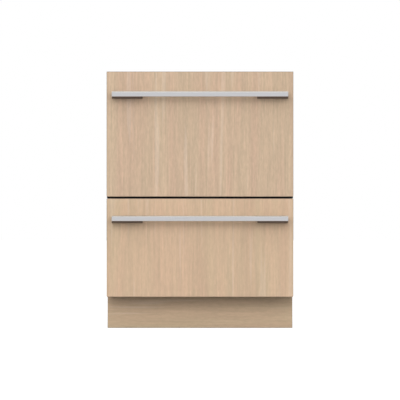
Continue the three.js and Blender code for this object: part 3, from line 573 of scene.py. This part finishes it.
area_lamp("key", place=(-2.2, -13.0, 8.1), width=9.7, height=5.4, watts=375)
area_lamp("fill", place=(4.2, -4.6, 0.8), width=2.4, height=1.4, watts=18)

bpy.context.scene.view_settings.view_transform = "Standard"


# ---- Wooden boards ----

ARRIS = 1.2 * MM
PLINTH_DROP = 0.9 * MM
LEVEL_EDGE = 2
PAINTED_SHADE_ARRIS = 3
SQUARE_ON = 0.999
FACES_DOWN = -0.2


def board(name, node, face_material, edge_materials, body, drop=0.0, under=LEVEL_EDGE):
    """A veneered board with rounded arrises, which take a darker oak as painted shade along its edges.
    edge_materials are for its upright and its level edges, drop takes its lower edge further down, and under
    is the material of the arrises there."""
    low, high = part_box(node)
    low.z -= drop
    bm = bmesh.new()
    bmesh.ops.create_cube(bm, size=1.0)
    bmesh.ops.scale(bm, vec=high - low, verts=bm.verts)
    bmesh.ops.translate(bm, vec=(low + high) / 2, verts=bm.verts)
    round_edges(bm, bm.edges[:], ARRIS, 3)
    bm.normal_update()
    for face in bm.faces:
        faces_axis = [abs(value) > SQUARE_ON for value in (face.normal.y, face.normal.x, face.normal.z)]
        # The arrises take the darker oak as painted shade, except the lower ones, which take under's
        # material.
        arris = under if face.normal.z < FACES_DOWN else PAINTED_SHADE_ARRIS
        face.material_index = faces_axis.index(True) if any(faces_axis) else arris
    obj = object_from(name, bm)
    shade(obj, 50)
    piece(obj, [face_material, *edge_materials, "oak_arris_painted_shade"], body, (node,))


for drawer in DRAWERS:
    board(f"{drawer}_oak_front", f"{drawer}_front_panel", f"oak_{drawer}",
          [f"oak_{drawer}", "oak_edge_level"], f"{drawer}_drawer")
# The plinth's lower arris also takes the painted shade, as a dark line where it meets the floor.
board("oak_plinth_board", "plinth_panel", "oak_plinth", ["oak_plinth", "oak_plinth"], "chassis",
      PLINTH_DROP, PAINTED_SHADE_ARRIS)


# ---- Pieces that keep the CAD shape, with rounded edges: a radius, and the steps round it ----

BAR_ROUNDING = (0.6 * MM, 3)
RUNNER_ROUNDING = (0.3 * MM, 2)
SHEET_ROUNDING = (0.35 * MM, 2)
SERVICE_ROUNDING = (0.5 * MM, 2)
DRAWER_ROUNDING = {
    "handle_bracket_left": (0.6 * MM, 3),
    "handle_bracket_right": (0.6 * MM, 3),
    "front_carrier": (0.8 * MM, 2),
    "power_button": (0.3 * MM, 2),
    "start_button": (0.3 * MM, 2),
    "lid": (0.5 * MM, 2),
    "lid_seal": (1.6 * MM, 3),
    "wash_motor": (1.2 * MM, 2),
    "filter_plate": (0.4 * MM, 2),
    "spray_arm": (0.8 * MM, 2),
    "cup_rack": (0.4 * MM, 2),
    "dispenser_body": (0.6 * MM, 2),
    "dispenser_cover": (0.5 * MM, 2),
}


def on_upper_front_edge(normal):
    """1 for the faces of a bar's rounded upper front edge, which take a lighter, warmer steel as a painted
    highlight, and 0 for the others.
    """
    return int(normal.z > 0.3 and normal.y < -0.3)


for drawer in DRAWERS:
    softened(f"{drawer}_handle_bar", *BAR_ROUNDING, material=["handle_steel", "handle_painted_highlight"],
             choose=on_upper_front_edge)
    for part, rounding in DRAWER_ROUNDING.items():
        softened(f"{drawer}_{part}", *rounding)
    for side in SIDES:
        for member in ("fixed", "middle", "inner"):
            softened(f"{drawer}_runner_{side}_{member}", *RUNNER_ROUNDING)
for node in ("side_panel_left", "side_panel_right", "rear_panel", "top_cover", "base_tray", "middle_rail"):
    softened(node, *SHEET_ROUNDING)
softened("service_plate", *SERVICE_ROUNDING)


# ---- Baskets of bent and welded wire. The wires' sizes are radii ----

WIRE = 1.5 * MM
RIM_WIRE = 2.5 * MM
HOOPS = ((0.055, 1.6 * MM), (0.5, WIRE))        # each one's share of the basket's height, and its radius
BASKET_CORNER = 23.5 * MM
UPRIGHT_INSET = 3.1 * MM
UPRIGHT_BEND = 9 * MM
END_SPACE = 30 * MM
WIRES_FRONT_TO_BACK = 20
WIRES_SIDE_TO_SIDE = 17

TINE_SPACING = 46 * MM
TINE_COUNT = 8
ROW_HALF = (TINE_COUNT - 1) * TINE_SPACING / 2
TINE_HEIGHT = 80.8 * MM
FIXED_ROW_X = 22 * MM
FOLDING_ROW_X = -82 * MM
ROW_WIRE = 1.7 * MM
ROW_LIFT = 4.7 * MM
ROW_OVERHANG = 10 * MM
ROD = 2.2 * MM
ROD_END = 1.2 * MM

CLIP_WIDTH = 8 * MM
CLIP_REACH = 5.5 * MM
CLIP_LIFT = 4.8 * MM
CLIP_RISE = 4 * MM
CLIP_EDGE = 1.2 * MM


def basket(drawer):
    low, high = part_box(f"{drawer}_basket")
    half, front, back = high.x, low.y, high.y
    rod_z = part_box(f"{drawer}_fold_tines")[0].z + ROD
    bm = bmesh.new()

    def hoop(radius, z):
        path = rounded_path(half - radius, front + radius, back - radius, BASKET_CORNER - radius, z)
        tube(bm, path, radius, closed=True)

    hoop(RIM_WIRE, high.z - RIM_WIRE)
    for share, radius in HOOPS:
        hoop(radius, low.z + (high.z - low.z) * share)

    # The wires from side to side lie on those from front to back, and all of them end in the rim.
    top = high.z - 1.6 * RIM_WIRE
    z = low.z + WIRE
    ends = (front + UPRIGHT_INSET, back - UPRIGHT_INSET)
    for x in across(-half + END_SPACE, half - END_SPACE, WIRES_FRONT_TO_BACK):
        corners = [(x, ends[0], top), (x, ends[0], z), (x, ends[1], z), (x, ends[1], top)]
        tube(bm, bent(corners, UPRIGHT_BEND), WIRE)
    z = low.z + 3 * WIRE
    ends = (-half + UPRIGHT_INSET, half - UPRIGHT_INSET)
    for y in across(front + END_SPACE, back - END_SPACE, WIRES_SIDE_TO_SIDE):
        corners = [(ends[0], y, top), (ends[0], y, z), (ends[1], y, z), (ends[1], y, top)]
        tube(bm, bent(corners, UPRIGHT_BEND), WIRE)

    # Two level wires carry the rows of tines. The fixed tines stand on one of them.
    middle = (front + back) / 2
    row_ends = (middle - ROW_HALF - ROW_OVERHANG, middle + ROW_HALF + ROW_OVERHANG)
    z = low.z + ROW_LIFT
    for x in (FOLDING_ROW_X, FIXED_ROW_X):
        tube(bm, [(x, row_ends[0], z), (x, row_ends[1], z)], ROW_WIRE, domed=True)
    for y in across(middle - ROW_HALF, middle + ROW_HALF, TINE_COUNT):
        tube(bm, [(FIXED_ROW_X, y, z), (FIXED_ROW_X, y, rod_z + TINE_HEIGHT)], WIRE, domed=True)
    add_piece(f"{drawer}_basket_wires", bm, "coated_wire", f"{drawer}_drawer",
              stands_for=(f"{drawer}_basket",), angle=60)

    # Clips hold the rods that the tines and the cup rack fold on.
    rack_low, rack_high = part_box(f"{drawer}_cup_rack")
    hinge_x = rack_high.x - ROD
    hinge_z = rack_low.z + ROD
    bm = bmesh.new()
    for y in (row_ends[0], row_ends[1] - CLIP_WIDTH):
        soft_box(bm, (FOLDING_ROW_X - CLIP_REACH, y, low.z + CLIP_LIFT),
                 (FOLDING_ROW_X + CLIP_REACH, y + CLIP_WIDTH, rod_z + CLIP_RISE), CLIP_EDGE)
    for y in (rack_low.y, rack_high.y - CLIP_WIDTH):
        soft_box(bm, (hinge_x - CLIP_REACH, y, hinge_z - CLIP_REACH),
                 (half - RIM_WIRE, y + CLIP_WIDTH, hinge_z + CLIP_RISE), CLIP_EDGE)
    add_piece(f"{drawer}_basket_clips", bm, "pale_plastic", f"{drawer}_drawer",
              stands_for=(f"{drawer}_basket",))


def fold_tines(drawer):
    low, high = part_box(f"{drawer}_fold_tines")
    x, z = FOLDING_ROW_X, low.z + ROD
    middle = (low.y + high.y) / 2
    bm = bmesh.new()
    tube(bm, [(x, low.y + ROD_END, z), (x, high.y - ROD_END, z)], ROD, sides=12, domed=True)
    for y in across(middle - ROW_HALF, middle + ROW_HALF, TINE_COUNT):
        tube(bm, [(x, y, z), (x, y, z + TINE_HEIGHT)], WIRE, domed=True)
    add_piece(f"{drawer}_folding_tine_row", bm, "coated_wire", f"{drawer}_fold_tines",
              stands_for=(f"{drawer}_fold_tines",), angle=60)


for drawer in DRAWERS:
    basket(drawer)
    fold_tines(drawer)


# ---- Tubs, pressed from sheet ----

TUB_HALF = 278.9 * MM
TUB_WALL = 1.5 * MM
TUB_CORNER = 34 * MM
TUB_RIM = 6 * MM
TUB_BEND = 14 * MM
CORNER_STEPS = 8
BEND_STEPS = 6
SUMP_RADIUS = 86 * MM
SUMP_DEPTH = 14 * MM
SUMP_FOOT = ((-5, 0), (-1.5, 1.2), (0, 4))      # mm out from the sump's radius, and up from its floor
SUMP_LIP = ((0, -3), (1, -0.8), (3.5, 0))       # mm out from the sump's radius, and up from the tub's floor
RIM_PROFILE = ((0, 3.0, 0), (0, 3.0, 5.4), (0, 2.4, 6), (0, 0.8, 6), (0, 0.2, 5.4), (0, 0, 4.4), (0, 0, 0),
               (0.75, 0.3, 0), (1.5, 1.4, 0))   # mm in from the wall, down from the top, and out over the rim
PAD_INSET = 6 * MM
PAD_SIZE = 18 * MM
PAD_FOOT = 1 * MM                               # over the underside of the tub's floor, so inside its sheet
PAD_RISE = 0.9 * MM                             # past the lowest point of the basket
PAD_ROUNDING = (2 * MM, 3)


def tub(drawer):
    low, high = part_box(f"{drawer}_tub")
    front, back = low.y, high.y - TUB_RIM
    base = low.z + SUMP_DEPTH
    height = high.z - base
    middle = Vector((0, (front + back) / 2, 0))

    def square(inset, z, rim=0.0):
        return rounded_path(TUB_HALF - inset + rim, front + inset, back - inset + rim, TUB_CORNER - inset,
                            base + z, CORNER_STEPS)

    guide = square(0, 0)

    def circle(radius, z):
        """A round loop with a point for each of the square one's."""
        loop = []
        for point in guide:
            flat = (point - middle).xy.normalized() * radius
            loop.append(Vector((flat.x, middle.y + flat.y, base + z)))
        return loop

    def bowl(inset):
        """From the sump's floor, out over the tub's floor and up its wall, on one side of the sheet."""
        sump_radius = SUMP_RADIUS - inset
        sump_z = inset - SUMP_DEPTH
        loops = [circle(sump_radius + out * MM, sump_z + up * MM) for out, up in SUMP_FOOT]
        loops += [circle(sump_radius + out * MM, inset + up * MM) for out, up in SUMP_LIP]
        bend = TUB_BEND - inset
        for i in range(BEND_STEPS + 1):
            angle = math.radians(90 * i / BEND_STEPS)
            loops.append(square(inset + bend * (1 - math.sin(angle)), inset + bend * (1 - math.cos(angle))))
        return loops

    rim = [square(inset * MM, height - down * MM, out * MM) for inset, down, out in RIM_PROFILE]
    bm = bmesh.new()
    loft(bm, bowl(0.0) + rim + bowl(TUB_WALL)[::-1])
    add_piece(f"{drawer}_tub_shell", bm, "stainless_tub", f"{drawer}_drawer",
              stands_for=(f"{drawer}_tub",), angle=50)

    # Four pads keep the basket off the tub's floor.
    basket_low, basket_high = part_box(f"{drawer}_basket")
    bm = bmesh.new()
    for x in (basket_low.x + PAD_INSET, basket_high.x - PAD_INSET - PAD_SIZE):
        for y in (basket_low.y + PAD_INSET, basket_high.y - PAD_INSET - PAD_SIZE):
            soft_box(bm, (x, y, base + PAD_FOOT), (x + PAD_SIZE, y + PAD_SIZE, basket_low.z + PAD_RISE),
                     *PAD_ROUNDING)
    add_piece(f"{drawer}_basket_rests", bm, "grey_plastic", f"{drawer}_drawer", stands_for=(f"{drawer}_tub",))


for drawer in DRAWERS:
    tub(drawer)


# ---- Levelling feet with their threads. The profile's sizes are in mm ----

FOOT_PAD = [(0, 0), (17.5, 0), (19.2, 0.6), (20, 2), (20, 6), (19.2, 7), (11, 8.6), (9.4, 9), (8.6, 10),
            (7, 10.6)]
THREAD_CORE = 6.4
THREAD_CREST = 7.0
THREAD_PITCH = 1.8
LOWER_THREAD = (12.0, 85)
UPPER_THREAD = (100.0, 135)
FOOT_NECK = [(THREAD_CORE, 86.0), (THREAD_CORE, 99.5)]
FOOT_TOP = [(6.2, 136.4), (0, 137)]
NUT_RADIUS = 12.9 * MM
NUT_DEPTH = 11.8 * MM
NUT_HEIGHT = 93 * MM
NUT_EDGE = 0.7 * MM


def foot(node):
    low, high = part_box(node)
    centre = Vector(((low.x + high.x) / 2, (low.y + high.y) / 2, low.z))
    profile = list(FOOT_PAD)
    z, last = LOWER_THREAD
    while z < last:
        profile += [(THREAD_CORE, z), (THREAD_CREST, z + THREAD_PITCH / 2)]
        z += THREAD_PITCH
    profile += FOOT_NECK
    z, last = UPPER_THREAD
    while z < last:
        profile += [(THREAD_CREST, z + THREAD_PITCH / 2), (THREAD_CORE, z + THREAD_PITCH)]
        z += THREAD_PITCH
    profile += FOOT_TOP
    bm = bmesh.new()
    lathe(bm, [(r * MM, h * MM) for r, h in profile], centre, sides=32)
    nut = bmesh.ops.create_cone(bm, cap_ends=True, segments=6, radius1=NUT_RADIUS, radius2=NUT_RADIUS,
                                depth=NUT_DEPTH)["verts"]
    bmesh.ops.translate(bm, vec=centre + Vector((0, 0, NUT_HEIGHT)), verts=nut)
    round_edges(bm, list({edge for vert in nut for edge in vert.link_edges}), NUT_EDGE, 2)
    add_piece(f"{node}_threaded", bm, "black_plastic", NODE_BODY[node], stands_for=(node,), angle=40)


for place in ("front", "rear"):
    for side in SIDES:
        foot(f"foot_{place}_{side}")


# ---- Screws of the rear panel ----

SCREW_X = 289 * MM
SCREW_HEIGHTS = (0.20, 0.40, 0.60, 0.79)
SCREW_SEAT = 1.5 * MM
HEAD_RADIUS = 4.2 * MM
HEAD_SCALE = 0.75 * MM
HEAD_PROFILE = ((0, 0.9), (0.35, 0.9), (0.4, 1.9), (0.62, 1.8), (0.85, 1.3), (1.0, 0.35), (1.0, 0),
                (0.96, -0.1))

rear_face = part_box("rear_panel")[1].y - SCREW_SEAT
bm = bmesh.new()
for x in (-SCREW_X, SCREW_X):
    for z in SCREW_HEIGHTS:
        lathe(bm, [(r * HEAD_RADIUS, h * HEAD_SCALE) for r, h in HEAD_PROFILE], (x, rear_face, z), "y", 20)
add_piece("rear_panel_screws", bm, "runner_zinc", "chassis", angle=40)


# ---- Display window and its lenses on each carrier, and the rinse-aid cap beside each dispenser ----

WINDOW_X = (120 * MM, 188 * MM)
WINDOW_HALF_DEPTH = 4.5 * MM
WINDOW_SUNK = 1 * MM
WINDOW_PROUD = 0.25 * MM
WINDOW_EDGE = 0.2 * MM
LENS_COUNT = 4
FIRST_LENS_X = 130
LENS_SPACING = 16
LENS_LIFT = 0.05 * MM
LENS_PROFILE = ((0, 0.5), (1.1, 0.42), (1.3, 0.2), (1.3, -0.3))
CAP_ASIDE = 26 * MM
CAP_PROFILE = ((14, -0.6), (14, 1.6), (13.2, 2.3), (0, 2.5))
GRIP_HALF_LENGTH = 10 * MM
GRIP_HALF_WIDTH = 1.6 * MM
GRIP_STANDS = (2 * MM, 5 * MM)
GRIP_EDGE = 0.7 * MM

for drawer in DRAWERS:
    low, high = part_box(f"{drawer}_front_carrier")
    middle = (low.y + high.y) / 2
    bm = bmesh.new()
    soft_box(bm, (WINDOW_X[0], middle - WINDOW_HALF_DEPTH, high.z - WINDOW_SUNK),
             (WINDOW_X[1], middle + WINDOW_HALF_DEPTH, high.z + WINDOW_PROUD), WINDOW_EDGE)
    add_piece(f"{drawer}_display_window", bm, "display_glass", f"{drawer}_drawer")
    bm = bmesh.new()
    for i in range(LENS_COUNT):
        lathe(bm, [(r * MM, h * MM) for r, h in LENS_PROFILE],
              ((FIRST_LENS_X + LENS_SPACING * i) * MM, middle, high.z + LENS_LIFT), "z", 20)
    add_piece(f"{drawer}_indicator_lenses", bm, "indicator_lens", f"{drawer}_drawer")

    low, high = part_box(f"{drawer}_dispenser_body")
    x, y, z = high.x + CAP_ASIDE, low.y, (low.z + high.z) / 2
    bm = bmesh.new()
    lathe(bm, [(r * MM, h * MM) for r, h in CAP_PROFILE], (x, y, z), "y", 40)
    soft_box(bm, (x - GRIP_HALF_LENGTH, y + GRIP_STANDS[0], z - GRIP_HALF_WIDTH),
             (x + GRIP_HALF_LENGTH, y + GRIP_STANDS[1], z + GRIP_HALF_WIDTH), GRIP_EDGE)
    add_piece(f"{drawer}_rinse_aid_cap", bm, "grey_plastic", f"{drawer}_drawer")
